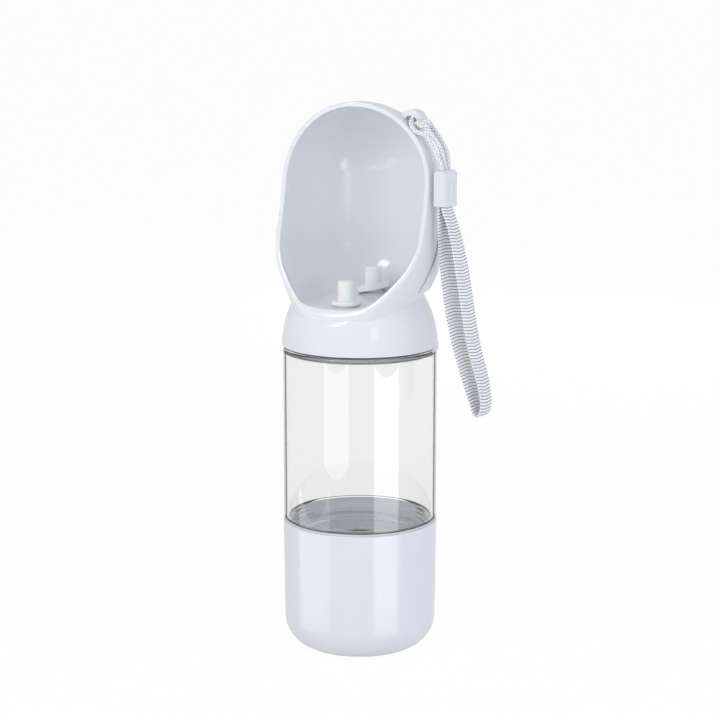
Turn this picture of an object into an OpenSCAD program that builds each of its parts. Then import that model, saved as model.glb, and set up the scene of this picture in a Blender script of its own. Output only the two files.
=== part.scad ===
// Portable pet bottle in one stack: a food cup below, a clear water bottle, and a screw lid whose tall scoop
// is the drinking bowl. Millimetres, +Z up. The scoop opens towards -Y, the wrist strap hangs at +X, and the
// origin is the centre of the food cup's underside.

/* [Food cup] */
// Outer diameter of the food cup at its rim; the bottle and the lid's collar follow it
cup_d = 75; // [66:0.5:90]
// Height of the food cup
cup_h = 63.8; // [50:0.1:90]
// Loss of diameter from the cup's rim to its round foot
cup_draft = 1.2; // [0:0.1:4]
// Radius of the round edge of the foot
cup_foot_r = 15; // [8:0.5:20]
// Wall thickness of the food cup
cup_wall = 2; // [1.4:0.1:2.6]
// Floor thickness of the food cup
cup_floor = 2.4; // [1.6:0.1:4]

/* [Bottle] */
// How far the clear body stays inside the food cup's rim, on the radius
bottle_step = 0.4; // [0:0.1:1]
// Height of the clear body from the cup's seal to the shoulder
body_h = 84.5; // [50:0.5:140]
// Wall thickness of the bottle
bottle_wall = 1.8; // [1.2:0.1:2.6]
// Radius of the round edge of the upper shoulder
shoulder_r = 2.6; // [1:0.1:3]
// Radius of the round edge at the bottom of the clear body
body_foot_r = 1; // [0.5:0.1:2]
// How far the neck that the lid screws on stays inside the clear body, on the radius
neck_step = 4.1; // [3.6:0.1:8]
// Height of the neck above the shoulder
neck_h = 11.6; // [8:0.1:11.8]
// Room for the screw threads between the foot and the food cup
foot_room = 1.1; // [0.6:0.1:2]
// Depth of the foot below the clear body
foot_h = 11.8; // [8:0.1:12.6]
// Height over which the bottle's inside widens from its foot to its body
shelf_h = 2.3; // [1.6:0.1:4]

/* [Seals] */
// Thickness of the ring between the food cup and the bottle
cup_seal_t = 0.8; // [0.5:0.1:2]
// Thickness of the ring between the bottle's shoulder and the lid's collar
neck_seal_t = 1.2; // [0.6:0.1:2]
// How far each ring's outer edge stays inside the bottle's wall
seal_inset = 0.7; // [0.3:0.1:1.2]
// Gap between each ring and the neck or foot inside it
seal_gap = 0.4; // [0.3:0.05:1]

/* [Collar] */
// How far the collar's lower edge stands out of the clear body, on the radius
collar_step = 0.5; // [0.2:0.1:2]
// Radius of the dome's arc in side view
dome_r = 46; // [40:1:70]
// Height from the collar's edge to the dome's hidden top inside the flare
dome_h = 28; // [26:0.5:29]
// Wall thickness of the lid
lid_wall = 2.3; // [1.6:0.1:3]
// Room for the screw threads round the neck
thread_room = 1; // [0.6:0.1:1.4]
// Gap between the bottle's mouth and the land that closes on it
mouth_gap = 0.4; // [0.3:0.1:1]
// Loss of radius of the hollow above the mouth, up to the floor
hollow_draft = 1.8; // [1:0.1:4]
// Height of the nib under the collar's edge at the right
nib_h = 2; // [1:0.1:2.4]
// Plan angle where the nib starts, from +X towards the back
nib_turn = 4; // [0:1:20]
// Plan angle that the nib covers
nib_angle = 40; // [10:1:60]
// How far the nib stands out of the collar
nib_proud = 0.4; // [0:0.1:1]
// How far the nib's inner face lies inside the bottle's widest radius, where the shoulder is round
nib_inset = 0.2; // [0:0.05:0.3]

/* [Scoop] */
// Outer diameter of the scoop
scoop_d = 76.8; // [68:0.2:90]
// Height of the whole bottle with its lid
total_h = 266.9; // [240:0.1:300]
// Height above the collar's edge where the flare starts, inside the dome
flare_start = 12.7; // [10:0.1:14]
// Height above the collar's edge where the flare's back reaches the scoop's radius
flare_back_end = 35.9; // [32:0.1:40]
// Height above the collar's edge where the flare's front reaches the scoop's radius
flare_front_end = 27.2; // [22:0.1:34]
// Angle of the flare's back from the vertical, in degrees
flare_back = 41.7; // [30:0.1:46]
// Angle of the flare's front from the vertical, in degrees
flare_front = 11.9; // [4:0.1:24]
// Radius of the opening's arc in side view
opening_r = 131; // [110:1:160]
// Height of the opening's arc centre above the collar's edge
opening_z = 99.9; // [90:0.1:110]
// Distance of the opening's rearmost point in front of the axis
opening_y = 5; // [0:0.1:12]

/* [Scoop floor] */
// Height of the scoop's floor above the collar's edge, on the axis
bowl_floor_z = 21.8; // [20:0.1:24]
// Rise of the floor towards the back, in degrees
bowl_floor_tilt = 3; // [0:0.5:6]
// Thickness of the scoop's floor
bowl_floor_t = 2.4; // [1.6:0.1:3]
// Distance of each plug from the axis
plug_y = 15.5; // [13:0.5:17]
// Radius of each plug's stem
plug_stem_r = 3.6; // [2.5:0.1:4]
// Radial running clearance between a stem and its hole
plug_fit = 0.06; // [0.02:0.01:0.1]
// Depth of a stem below the floor
plug_stem_below = 2.6; // [1.5:0.1:4]
// Radius of a plug's pull knob
knob_r = 4.1; // [3:0.1:5]
// Radius of the round edge of a knob's top
knob_edge_r = 1.2; // [0.4:0.1:2]
// Height of the pour plug's knob top above its seat
pour_knob_h = 11.6; // [8:0.1:14]
// Radius of the pour plug's flange
pour_flange_r = 7; // [5:0.1:8]
// Height of the return plug's knob top above its seat
return_knob_h = 12.6; // [8:0.1:16]
// Radius of the return plug's flange
return_flange_r = 8; // [5:0.1:9]
// Thickness of each plug's flange
flange_t = 2; // [1:0.1:3]
// Tilt of the return plug's soft flange, up at the right, in degrees
return_flange_tilt = 13; // [0:1:16]
// Radius of the raised seat round each plug's hole
seat_r = 5.6; // [4.5:0.1:6.5]
// Height of the raised seats above the floor
seat_h = 0.4; // [0.2:0.1:2]

/* [Rear shell] */
// Thickness of the second wall behind the flare
shell_t = 1.1; // [0.8:0.1:2]
// Gap between the second wall and the flare
shell_gap = 0.1; // [0.05:0.05:0.3]
// Height of the shell's lower edge above the collar's edge
shell_low = 28.2; // [27.6:0.1:32]
// Height of the shell's upper edge above the collar's edge
shell_high = 58; // [46:0.1:70]
// Distance of the shell's front edges in front of the axis, at its lower edge
shell_front = 7; // [-4:0.5:12]
// Backward lean of the shell's front edges, in degrees
shell_lean = 29; // [0:1:40]

/* [Strap lug] */
// Distance of the lug's centre to the right of the axis
lug_x = 25.6; // [22:0.1:28]
// Height of the lug's centre below the scoop's top
lug_drop = 9.4; // [7:0.1:12]
// Distance of the lug's front face behind the axis
lug_y = 0.6; // [-2:0.1:4]
// Length of the lug along the depth of the scoop
lug_l = 7.4; // [4:0.1:12]
// Outer radius of the lug
lug_r = 6.2; // [5:0.1:8]
// Radius of the lug's eye
lug_eye_r = 3.2; // [2.4:0.1:4]
// Width of each of the two grooves round the lug
lug_groove = 0.8; // [0.4:0.1:1.2]
// Depth of those grooves
lug_groove_depth = 0.5; // [0.2:0.1:1]

/* [Wrist strap] */
// Diameter of the thin cord
cord_d = 2.2; // [1.6:0.1:2.6]
// Width of the clip that joins the cord to the webbing
clip_w = 10.2; // [9.6:0.1:13]
// Thickness of the clip
clip_t = 6.6; // [5.4:0.1:8]
// Height of the clip
clip_h = 17.2; // [16:0.1:24]
// Radius of the round upper corners of the clip
clip_corner_r = 2.9; // [1:0.1:2.9]
// Depth of the clip's pockets
clip_pocket = 5; // [3:0.5:6]
// Width of the webbing
band_w = 8.8; // [7:0.1:9]
// Thickness of the webbing
band_t = 1.1; // [0.8:0.1:1.4]
// Distance between the two shallow flutes on the clip's wide face
clip_flute_gap = 4; // [3:0.1:6]
// Radius of each flute
clip_flute_r = 0.8; // [0.4:0.1:1.2]
// Distance of the flutes from the clip's lower edge
clip_flute_end = 2.4; // [1:0.1:4]
// Gap between the webbing's two layers inside the clip
band_gap = 0.9; // [0.4:0.1:1.2]
// Clearance between the webbing or cord and the clip's pockets
pocket_fit = 0.2; // [0.1:0.05:0.4]

/* [Hidden] */
$fn = 96;

cup_r = cup_d / 2;
bottle_r = cup_r - bottle_step;
neck_r = bottle_r - neck_step;
foot_r = cup_r - cup_wall - foot_room;
body_z = cup_h + cup_seal_t;
shoulder_z = body_z + body_h;
mouth_z = shoulder_z + neck_h;
collar_z = shoulder_z + neck_seal_t;
collar_r = bottle_r + collar_step;
scoop_r = scoop_d / 2;
scoop_top = total_h - scoop_r;
flare_z = collar_z + flare_start;
flare_half = (flare_back + flare_front) / 2;
flare_tilt = (flare_back - flare_front) / 2;
apex_z = collar_z + (flare_back_end * tan(flare_back) + flare_front_end * tan(flare_front) - scoop_d)
    / (tan(flare_back) + tan(flare_front));
apex_y = scoop_r - (collar_z + flare_back_end - apex_z) * tan(flare_back);
floor_z = collar_z + bowl_floor_z;
seat_pour_z = floor_z - plug_y * tan(bowl_floor_tilt) + seat_h;
seat_return_z = floor_z + plug_y * tan(bowl_floor_tilt) + seat_h;
land_z = mouth_z + mouth_gap;
lug_z = total_h - lug_drop;
wide = 3 * scoop_r;
plug_stem_depth = bowl_floor_t + seat_h + plug_stem_below;

// Centre of the clip's lower end, and the plan angle that its wide face looks along
clip_x = 44.5;
clip_y = -1;
clip_z = 219.3;
clip_turn = -12;

// Route of the thin cord: out of the clip, through the lug's eye from the front, round behind and back
cord_path = [
    [44, -3.2, 231.5], [44, -3.2, 234.3], [43.8, -3.3, 237], [42.5, -3.4, 240.6], [40.1, -2.8, 244.4],
    [37.9, -1.9, 247.8], [35.9, -1.4, 250.6], [34, -1.8, 252.4], [32, -2.8, 253.2], [30.2, -3.6, 254.1],
    [28.8, -3.8, 255.7], [27.7, -2.8, 257.4], [26.9, -1, 258.4], [26.5, 1.4, 258.7], [26.4, 4.3, 258.8],
    [26.5, 7.2, 258.8], [27, 9.4, 258.6], [28.6, 10.6, 258.1], [30.8, 10.4, 257.3], [32.8, 8.8, 256.2],
    [34.4, 6.9, 254.9], [37.4, 5.4, 252.3], [40.3, 4.4, 248.7], [42.8, 3.4, 245.2], [44.3, 2.4, 241.4],
    [44.9, 1.5, 237.4], [45, 1.2, 234.3], [45, 1.2, 231.5]
];
// Route of the cord's third run, from the clip to the knot
tail_path = [
    [44.5, -1, 231.5], [44.5, -1, 234.3], [44.3, -1, 237.2], [43.4, -0.7, 241], [41.6, 0.1, 245.4],
    [39.5, 0.4, 249], [37, 0, 252.2], [34.9, -0.9, 255], [33, -1.8, 256.8]
];
cord_pitch = 2.3;
knot_at = [33, -1.8, 256.9];
knot_r = 1.9;
knot_stub = 5.6;
knot_turns = [[35, 60, 0], [-30, 35, 0], [0, 70, 50]];
knot_shift = [0.5, 0.1, -0.8];

// Route of the webbing in the clip's frame: distance out of its wide face, and height over its lower edge
band_path = [
    [-1, 5], [-1, 0], [-1, -4], [-0.8, -8], [0, -18], [2.3, -31.5], [4.4, -45], [6.8, -56], [9.6, -66],
    [12.2, -73], [14.4, -79.5], [16.4, -86], [18, -91.5], [19.2, -95.2], [20.5, -97], [21.9, -97],
    [23.3, -95], [24, -91], [23.1, -85], [21.4, -78.5], [19.2, -72], [17, -65], [14.7, -55],
    [12.7, -44.5], [10.1, -31], [7, -17.5], [3.8, -7.5], [1.6, -2.5], [1, 0], [1, 5]
];

// Shapes

// A revolved 2D profile, kept to its right half
module turned() {
    rotate_extrude() intersection() {
        translate([0, -wide]) square([2 * wide, 6 * wide]);
        children();
    }
}

// A flat ring from z up by t
module ring(inner_r, outer_r, z, t) {
    translate([0, 0, z]) difference() {
        cylinder(h = t, r = outer_r);
        translate([0, 0, -1]) cylinder(h = t + 2, r = inner_r);
    }
}

// The half space above the plane that passes the axis at z and rises by tilt towards the back
module above_plane(z, tilt) {
    translate([0, 0, z]) rotate([tilt, 0, 0]) translate([-wide, -wide, 0]) cube(2 * wide);
}

// A tube swept along a path: each ring is square to the path, and side is carried along without twisting
function unit(v) = v / norm(v);
function heading(path, i) = unit(path[min(i + 1, len(path) - 1)] - path[max(i - 1, 0)]);
function carried(path, side, i = 0) =
    i == len(path) ? [] :
    let (ahead = heading(path, i), level = unit(side - (side * ahead) * ahead))
    concat([level], carried(path, level, i + 1));

module tube(path, side, section) {
    sides = len(section);
    last = len(path) - 1;
    levels = carried(path, side);
    points = [for (i = [0:last], p = section)
        path[i] + p[0] * levels[i] + p[1] * cross(heading(path, i), levels[i])];
    walls = [for (i = [0:last - 1], j = [0:sides - 1])
        let (a = i * sides + j, b = i * sides + (j + 1) % sides)
        each [[a, b, b + sides], [a, b + sides, a + sides]]];
    low_end = [for (j = [1:sides - 2]) [0, j + 1, j]];
    high_end = [for (j = [1:sides - 2]) [last * sides, last * sides + j, last * sides + j + 1]];
    faces = concat(walls, low_end, high_end);
    polyhedron(points = points, faces = [for (f = faces) [f[2], f[1], f[0]]], convexity = 6);
}

function round_section(d, sides) =
    [for (j = [0:sides - 1]) d / 2 * [cos(360 * j / sides), sin(360 * j / sides)]];
function flat_section(w, t) = [
    [w / 2, 0], [w / 2 - t / 4, t / 2], [0, t / 2], [t / 4 - w / 2, t / 2],
    [-w / 2, 0], [t / 4 - w / 2, -t / 2], [0, -t / 2], [w / 2 - t / 4, -t / 2]
];

// Food cup

// The cup's outside, drawn in by inset all round
module cup_profile(inset) {
    rim_r = cup_r - inset;
    low_r = cup_r - cup_draft / 2 - inset;
    arc_r = cup_foot_r - inset;
    polygon([[0, cup_foot_r], [low_r, cup_foot_r], [rim_r, cup_h], [0, cup_h]]);
    translate([0, inset]) square([low_r - arc_r, cup_foot_r]);
    intersection() {
        translate([low_r - arc_r, cup_foot_r]) circle(arc_r);
        translate([0, 0]) square([cup_r, cup_foot_r]);
    }
}

module food_cup() {
    color([0.88, 0.89, 0.93]) difference() {
        turned() cup_profile(0);
        turned() union() {
            intersection() {
                cup_profile(cup_wall);
                translate([0, cup_floor]) square([cup_r, cup_h]);
            }
            translate([0, cup_h - 1]) square([cup_r - cup_wall, 2]);
        }
    }
}

module cup_gasket() {
    color([0.86, 0.87, 0.88]) ring(foot_r + seal_gap, bottle_r - seal_inset, cup_h, cup_seal_t);
}

// Clear bottle

// Outside of the bottle: foot, body with round edges, and neck
module bottle_outside() {
    translate([0, body_z - foot_h]) square([foot_r, foot_h + 1]);
    translate([0, body_z]) square([bottle_r - body_foot_r, body_h]);
    translate([0, body_z + body_foot_r]) square([bottle_r, body_h - body_foot_r - shoulder_r]);
    translate([bottle_r - body_foot_r, body_z + body_foot_r]) circle(body_foot_r);
    translate([0, shoulder_z - shoulder_r]) square([bottle_r - shoulder_r, shoulder_r]);
    translate([bottle_r - shoulder_r, shoulder_z - shoulder_r]) circle(shoulder_r);
    translate([0, shoulder_z - 1]) square([neck_r, neck_h + 1]);
}

// Inside of the bottle, open at the mouth
module bottle_inside() {
    foot_bore = foot_r - bottle_wall;
    body_bore = bottle_r - bottle_wall;
    translate([0, body_z - foot_h + bottle_wall]) square([foot_bore, foot_h]);
    polygon([[0, body_z], [foot_bore, body_z], [body_bore, body_z + shelf_h], [0, body_z + shelf_h]]);
    translate([0, body_z + shelf_h]) square([body_bore, body_h - shelf_h - shoulder_r]);
    translate([0, shoulder_z - shoulder_r - 1]) square([neck_r - bottle_wall, neck_h + shoulder_r + 2]);
}

module bottle() {
    color([0.9, 0.93, 0.95, 0.35]) turned() difference() {
        bottle_outside();
        bottle_inside();
    }
}

module neck_gasket() {
    color([0.2, 0.2, 0.21]) ring(neck_r + seal_gap, bottle_r - seal_inset, shoulder_z, neck_seal_t);
}

// Lid

// The dome over the collar, drawn in by inset
module dome_profile(inset) {
    intersection() {
        translate([collar_r - dome_r, collar_z]) circle(dome_r - inset);
        translate([0, collar_z]) square([collar_r, dome_h]);
    }
}

// Front view of the scoop without its flare, grown by grow
module scoop_front(grow) {
    translate([-scoop_r - grow, flare_z]) square([2 * (scoop_r + grow), scoop_top - flare_z]);
    translate([0, scoop_top]) circle(scoop_r + grow);
}

// The scoop's outside, grown by grow: round behind the axis, straight walls in front of it, a round top, and
// drawn in below by a leaning cone
module scoop_body(grow) {
    reach = 2 * total_h;
    start = (flare_z - apex_z) / 2;
    intersection() {
        union() {
            rotate_extrude(angle = 180) intersection() {
                translate([0, -wide]) square([2 * wide, 6 * wide]);
                scoop_front(grow);
            }
            rotate([90, 0, 0]) linear_extrude(wide) scoop_front(grow);
        }
        translate([0, apex_y, apex_z]) rotate([-flare_tilt, 0, 0])
            translate([0, 0, start - grow / sin(flare_half)])
                cylinder(h = reach, r1 = start * tan(flare_half), r2 = (start + reach) * tan(flare_half));
    }
}

// The space that the scoop encloses
module bowl_space() {
    intersection() {
        scoop_body(-lid_wall);
        above_plane(floor_z, bowl_floor_tilt);
    }
}

module lug() {
    translate([lug_x, lug_y, lug_z]) rotate([-90, 0, 0]) difference() {
        cylinder(h = lug_l, r = lug_r);
        translate([0, 0, -1]) cylinder(h = lug_l + 2, r = lug_eye_r);
        for (at = [0.42, 0.72]) translate([0, 0, lug_l * at]) difference() {
            cylinder(h = lug_groove, r = lug_r + 1);
            translate([0, 0, -1]) cylinder(h = lug_groove + 2, r = lug_r - lug_groove_depth);
        }
    }
}

// The nib under the collar's edge
module nib() {
    low_r = bottle_r - nib_inset;
    translate([0, 0, collar_z - nib_h]) rotate([0, 0, nib_turn]) rotate_extrude(angle = nib_angle)
        translate([low_r, 0]) square([collar_r + nib_proud - low_r, nib_h + 1]);
}

// The space under the scoop's floor: thread room round the neck, and the hollow above the mouth
module under_space() {
    mouth_r = neck_r - bottle_wall;
    translate([0, 0, collar_z - 1]) cylinder(h = land_z - collar_z + 1, r = neck_r + thread_room);
    difference() {
        translate([0, 0, land_z - 1])
            cylinder(h = floor_z - land_z + 1, r1 = mouth_r, r2 = mouth_r - hollow_draft);
        above_plane(floor_z - bowl_floor_t, bowl_floor_tilt);
    }
}

// The opening that shows the scoop's inside, one round cut from the side
module opening_cut() {
    translate([-wide, -opening_y - opening_r, collar_z + opening_z]) rotate([0, 90, 0])
        cylinder(h = 2 * wide, r = opening_r, $fn = 360);
}

// A raised seat round a plug's hole
module seat(y, z) {
    translate([0, y, z - seat_h - 1]) cylinder(h = seat_h + 1, r = seat_r);
}

module plug_hole(y, z) {
    translate([0, y, z - 2 * bowl_floor_t - seat_h])
        cylinder(h = 3 * bowl_floor_t + seat_h, r = plug_stem_r + plug_fit);
}

module scoop_lid() {
    color([0.9, 0.91, 0.95]) difference() {
        union() {
            difference() {
                union() {
                    turned() dome_profile(0);
                    scoop_body(0);
                    lug();
                }
                bowl_space();
                opening_cut();
            }
            nib();
            seat(-plug_y, seat_pour_z);
            seat(plug_y, seat_return_z);
        }
        under_space();
        plug_hole(-plug_y, seat_pour_z);
        plug_hole(plug_y, seat_return_z);
    }
}

// The second wall behind the flare, its front edges leaning back as they rise
module rear_shell() {
    color([0.87, 0.88, 0.93]) difference() {
        intersection() {
            scoop_body(shell_gap + shell_t);
            translate([-wide, -wide, collar_z + shell_low])
                cube([2 * wide, 2 * wide, shell_high - shell_low]);
            translate([0, -shell_front, collar_z + shell_low]) rotate([-shell_lean, 0, 0])
                translate([-wide, 0, -wide]) cube(2 * wide);
        }
        scoop_body(shell_gap);
        turned() dome_profile(-shell_gap);
    }
}

// Plugs

// Stem and knob of a plug that stands on its seat
module plug_core(knob_h, stem_top) {
    turned() union() {
        translate([0, -plug_stem_depth]) square([plug_stem_r, plug_stem_depth + stem_top]);
        square([knob_r, knob_h - knob_edge_r]);
        square([knob_r - knob_edge_r, knob_h]);
        translate([knob_r - knob_edge_r, knob_h - knob_edge_r]) circle(knob_edge_r);
    }
}

module pour_plug() {
    color([0.89, 0.92, 0.92]) translate([0, -plug_y, seat_pour_z]) {
        plug_core(pour_knob_h, 1);
        cylinder(h = flange_t, r = pour_flange_r);
    }
}

module return_plug() {
    lift = return_flange_r * sin(return_flange_tilt);
    color([0.89, 0.92, 0.92]) translate([0, plug_y, seat_return_z]) {
        plug_core(return_knob_h, 1);
        translate([0, 0, lift]) rotate([0, -return_flange_tilt, 0])
            cylinder(h = flange_t, r = return_flange_r);
    }
}

// Wrist strap

// A point in the clip's own frame: n out of its wide face, t along its width, z up from its lower edge
clip_side = [-sin(clip_turn), cos(clip_turn), 0];
clip_out = [cos(clip_turn), sin(clip_turn), 0];
function by_clip(n, t, z) = [clip_x, clip_y, clip_z] + n * clip_out + t * clip_side + [0, 0, z];

module in_clip() {
    translate([clip_x, clip_y, clip_z]) rotate([0, 0, clip_turn]) children();
}

// A box with its two upper edges round, seen along its depth
module round_topped(w, depth, h, r) {
    translate([0, depth / 2, 0]) rotate([90, 0, 0]) linear_extrude(depth) {
        translate([-w / 2, 0]) square([w, h - r]);
        translate([r - w / 2, 0]) square([w - 2 * r, h]);
        for (x = [r - w / 2, w / 2 - r]) translate([x, h - r]) circle(r);
    }
}

module strap_clip() {
    layers = 2 * band_t + band_gap + 2 * pocket_fit;
    row_t = cord_d + 2 * pocket_fit;
    row_w = 2 * cord_pitch + row_t;
    color([0.88, 0.9, 0.92]) in_clip() difference() {
        intersection() {
            round_topped(clip_t, clip_w, clip_h, clip_corner_r);
            rotate([0, 0, 90]) round_topped(clip_w, clip_t, clip_h, clip_corner_r);
        }
        translate([-layers / 2, -band_w / 2 - pocket_fit, -1])
            cube([layers, band_w + 2 * pocket_fit, clip_pocket + 1]);
        translate([-row_t / 2, -row_w / 2, clip_h - clip_pocket]) cube([row_t, row_w, clip_pocket + 1]);
        for (t = [-1, 1]) translate([clip_t / 2, t * clip_flute_gap / 2, clip_flute_end])
            cylinder(h = clip_h - clip_corner_r - 2 * clip_flute_end, r = clip_flute_r);
    }
}

module lanyard_cord() {
    color([0.93, 0.93, 0.94]) tube(cord_path, clip_side, round_section(cord_d, 8));
}

module lanyard_tail() {
    color([0.93, 0.93, 0.94]) tube(tail_path, clip_side, round_section(cord_d, 8));
}

// A turn of cord seen as a ring, tipped by turn
module wrap(at, turn, r) {
    translate(at) rotate(turn) rotate_extrude() translate([r, 0]) circle(cord_d / 2);
}

module lanyard_knot() {
    color([0.93, 0.93, 0.94]) {
        wrap(knot_at, knot_turns[0], knot_r);
        wrap(knot_at + knot_shift, knot_turns[1], knot_r);
        translate(knot_at) rotate(knot_turns[2]) cylinder(h = knot_stub, r = cord_d / 2);
        translate(knot_at) sphere(knot_r);
    }
}

module wrist_band() {
    path = [for (p = band_path) by_clip(p[0], 0, p[1])];
    color([0.93, 0.93, 0.93]) tube(path, clip_side, flat_section(band_w, band_t));
}

food_cup();
cup_gasket();
bottle();
neck_gasket();
scoop_lid();
rear_shell();
pour_plug();
return_plug();
lanyard_cord();
lanyard_tail();
lanyard_knot();
strap_clip();
wrist_band();
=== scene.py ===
import math

import bmesh
import bpy
from mathutils import Matrix, Vector


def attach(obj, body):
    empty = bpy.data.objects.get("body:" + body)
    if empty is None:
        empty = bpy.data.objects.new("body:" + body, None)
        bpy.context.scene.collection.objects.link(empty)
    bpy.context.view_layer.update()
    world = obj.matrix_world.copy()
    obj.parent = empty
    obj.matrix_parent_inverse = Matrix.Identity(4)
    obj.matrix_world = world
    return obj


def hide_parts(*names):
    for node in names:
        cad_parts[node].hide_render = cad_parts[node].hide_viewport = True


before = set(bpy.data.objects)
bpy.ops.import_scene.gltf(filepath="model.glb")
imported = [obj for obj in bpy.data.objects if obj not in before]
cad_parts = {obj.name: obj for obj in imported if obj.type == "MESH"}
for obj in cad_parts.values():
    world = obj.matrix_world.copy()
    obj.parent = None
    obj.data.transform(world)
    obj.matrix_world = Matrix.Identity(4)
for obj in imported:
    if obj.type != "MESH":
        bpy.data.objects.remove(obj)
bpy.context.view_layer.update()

# Sizes in millimetres, as in the CAD model
MM = 0.001
ROUND = 160
CUP_TOP = 63.8
CUP_R = 37.5
CUP_WALL = 2.0
BODY_LOW = 64.6
SHOULDER = 149.1
BODY_R = 37.1
NECK_R = 33.0
FOOT_R = 34.4
FOOT_H = 11.8
GLASS = 1.8
MOUTH = 160.7
COLLAR_LOW = 150.3
COLLAR_R = 37.6
DOME_ARC = 46.0
SCOOP_R = 38.4
SCOOP_MID = 228.5
FLARE_HALF = math.radians(26.8)
FLARE_TILT = math.radians(14.9)
APEX_Y = -25.2
APEX_Z = 114.4
FLARE_BLEND = 6.0
LIP_Y = -35.1
LIP_SLOPE = 0.185
FLOOR = 172.1
FLOOR_DROP = 8.1
FLOOR_EDGE = 4.5
WALL = 2.3
CUT_R = 131.0
CUT_Y = -136.0
CUT_Z = 250.2
LOOP_START = -62
RIM_PROFILE = [(0.0, 0.5), (0.03, 0.27), (0.1, 0.1), (0.22, 0.02), (0.45, 0.0), (0.68, 0.05), (0.84, 0.18),
               (0.94, 0.38), (0.985, 0.6), (1.0, 0.9)]
FLOOR_TILT = 3.0
PLUG_Y = 15.5
SEAT_FRONT = 171.69
SEAT_BACK = 173.31
SEAT_R = 5.6
HOLE_R = 3.66
THREAD_LEAD = 6.0


# The photograph's camera

def photo_camera():
    azimuth, pitch, distance = math.radians(25), math.radians(11), 1.005
    middle = Vector((0, 0, 0.1422))
    lens = bpy.data.cameras.new("photo_lens")
    lens.sensor_width = 36
    lens.lens = 103.75
    camera = bpy.data.objects.new("photo_camera", lens)
    bpy.context.scene.collection.objects.link(camera)
    back = Vector((math.sin(azimuth) * math.cos(pitch), -math.cos(azimuth) * math.cos(pitch),
                   math.sin(pitch)))
    camera.location = middle + distance * back
    camera.rotation_euler = (-back).to_track_quat("-Z", "Y").to_euler()
    bpy.context.scene.camera = camera
    bpy.context.scene.view_settings.view_transform = "Standard"


photo_camera()


# Modelling by hand

def deselect():
    if bpy.context.mode != "OBJECT":
        bpy.ops.object.mode_set(mode="OBJECT")
    bpy.ops.object.select_all(action="DESELECT")


def pick(piece):
    deselect()
    piece.select_set(True)
    bpy.context.view_layer.objects.active = piece


def edit(piece, what="VERT"):
    pick(piece)
    bpy.ops.object.mode_set(mode="EDIT")
    bpy.ops.mesh.select_mode(type=what)


def point(x, y, z):
    return Vector((x, y, z)) * MM


def settle(piece):
    pick(piece)
    bpy.ops.object.transform_apply(location=True, rotation=True, scale=True)


def outward(piece):
    edit(piece)
    bpy.ops.mesh.select_all(action="SELECT")
    bpy.ops.mesh.remove_doubles(threshold=0.002 * MM)
    bpy.ops.mesh.normals_make_consistent(inside=False)
    deselect()


def smooth(piece, angle):
    """Smooth shading up to an angle, in which large faces keep their own direction."""
    pick(piece)
    bpy.ops.object.shade_smooth_by_angle(angle=math.radians(angle))
    even = piece.modifiers.new("even_shade", "WEIGHTED_NORMAL")
    even.keep_sharp = True
    even.weight = 100
    bpy.ops.object.modifier_apply(modifier="even_shade")


def apply_modifier(piece, name):
    pick(piece)
    bpy.ops.object.modifier_apply(modifier=name)


def bend(middle_r, middle_z, radius, start, end, steps):
    """Points of an arc in an outline, from the angle start to end, in degrees from outwards."""
    turns = [math.radians(start + (end - start) * i / steps) for i in range(steps + 1)]
    return [(middle_r + radius * math.cos(turn), middle_z + radius * math.sin(turn)) for turn in turns]


def drawn(name, outline):
    """A line through an outline of radius and height, left in edit mode."""
    deselect()
    bpy.ops.mesh.primitive_plane_add(size=MM)
    piece = bpy.context.object
    piece.name = name
    edit(piece)
    bpy.ops.mesh.select_all(action="SELECT")
    bpy.ops.mesh.merge(type="CENTER")
    bpy.ops.transform.translate(value=point(outline[0][0], 0, outline[0][1]))
    for (r0, z0), (r1, z1) in zip(outline, outline[1:]):
        bpy.ops.mesh.extrude_vertices_move(TRANSFORM_OT_translate={"value": point(r1 - r0, 0, z1 - z0)})
    return piece


def turned(name, outline, steps=ROUND):
    """A piece turned round the bottle's axis from an outline of radius and height."""
    piece = drawn(name, outline)
    deselect()
    turn = piece.modifiers.new("turn", "SCREW")
    turn.axis = "Z"
    turn.angle = 2 * math.pi
    turn.steps = steps
    turn.render_steps = steps
    turn.use_merge_vertices = True
    turn.merge_threshold = 0.002 * MM
    apply_modifier(piece, "turn")
    outward(piece)
    return piece


def bar(name, radius, low, high, x=0, y=0, sides=96):
    """A plain upright round bar."""
    deselect()
    bpy.ops.mesh.primitive_cylinder_add(vertices=sides, radius=radius * MM, depth=(high - low) * MM,
                                        location=point(x, y, (low + high) / 2))
    piece = bpy.context.object
    piece.name = name
    settle(piece)
    return piece


def box(name, width, depth, height, low=0):
    """A plain box on the axis that stands at the height low."""
    deselect()
    bpy.ops.mesh.primitive_cube_add(size=MM, location=point(0, 0, low + height / 2))
    piece = bpy.context.object
    piece.name = name
    piece.scale = (width, depth, height)
    settle(piece)
    return piece


def joined(piece, tool, operation):
    """Boolean of two closed pieces; the tool is used up."""
    change = piece.modifiers.new("join", "BOOLEAN")
    change.operation = operation
    change.solver = "MANIFOLD"
    change.object = tool
    apply_modifier(piece, "join")
    bpy.data.objects.remove(tool)
    return piece


def round_edges(piece, wanted, width, steps):
    """Rounds the edges for which wanted(edge) holds."""
    edit(piece, "EDGE")
    bpy.ops.mesh.select_all(action="DESELECT")
    mesh = bmesh.from_edit_mesh(piece.data)
    for edge in mesh.edges:
        edge.select_set(len(edge.link_faces) == 2 and wanted(edge))
    bmesh.update_edit_mesh(piece.data)
    bpy.ops.mesh.bevel(offset=width * MM, segments=steps, affect="EDGES", clamp_overlap=False)
    deselect()


def sharp(edge):
    return edge.calc_face_angle(0) > math.radians(60)


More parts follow.
